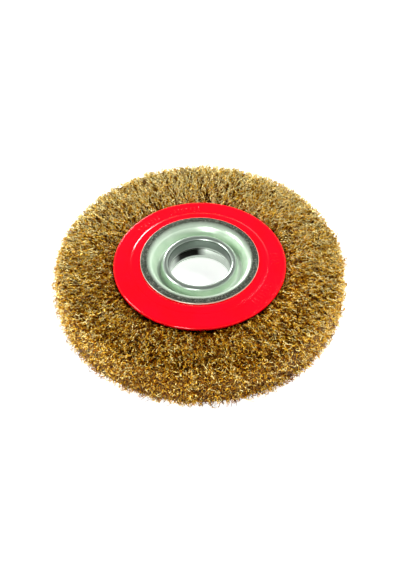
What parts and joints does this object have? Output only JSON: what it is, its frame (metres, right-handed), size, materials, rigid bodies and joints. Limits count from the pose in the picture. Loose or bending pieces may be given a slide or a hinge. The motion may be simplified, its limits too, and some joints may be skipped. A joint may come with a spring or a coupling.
{
  "type": "wire wheel brush",
  "caption": "Round crimped-wire wheel brush: springy wires clamped between two painted side plates, with a pressed hub and a plain bore.",
  "frame": {"origin": "middle of the wheel, on the bore's axis and midway between the two wire faces", "axes": "+Z along the bore's axis, out of the front face; X and Y across the wheel"},
  "size_m": [0.15, 0.15, 0.025],
  "materials": {
    "red_paint": "gloss stoved paint",
    "zinc_plate": "bright zinc plating",
    "core_steel": "plain",
    "brass_wire": "crimped, brass coated"
  },
  "bodies": {
    "root": {"front_side_plate": "red_paint", "rear_side_plate": "red_paint", "front_hub_cup": "zinc_plate", "rear_hub_cup": "zinc_plate", "core_ring": "core_steel", "wire_bundle_01": "brass_wire", "wire_bundle_02": "brass_wire", "wire_bundle_03": "brass_wire", "wire_bundle_04": "brass_wire", "wire_bundle_05": "brass_wire", "wire_bundle_06": "brass_wire", "wire_bundle_07": "brass_wire", "wire_bundle_08": "brass_wire", "wire_bundle_09": "brass_wire", "wire_bundle_10": "brass_wire", "wire_bundle_11": "brass_wire", "wire_bundle_12": "brass_wire", "wire_bundle_13": "brass_wire", "wire_bundle_14": "brass_wire", "wire_bundle_15": "brass_wire", "wire_bundle_16": "brass_wire", "wire_bundle_17": "brass_wire", "wire_bundle_18": "brass_wire", "wire_bundle_19": "brass_wire", "wire_bundle_20": "brass_wire"}
  },
  "joints": []
}
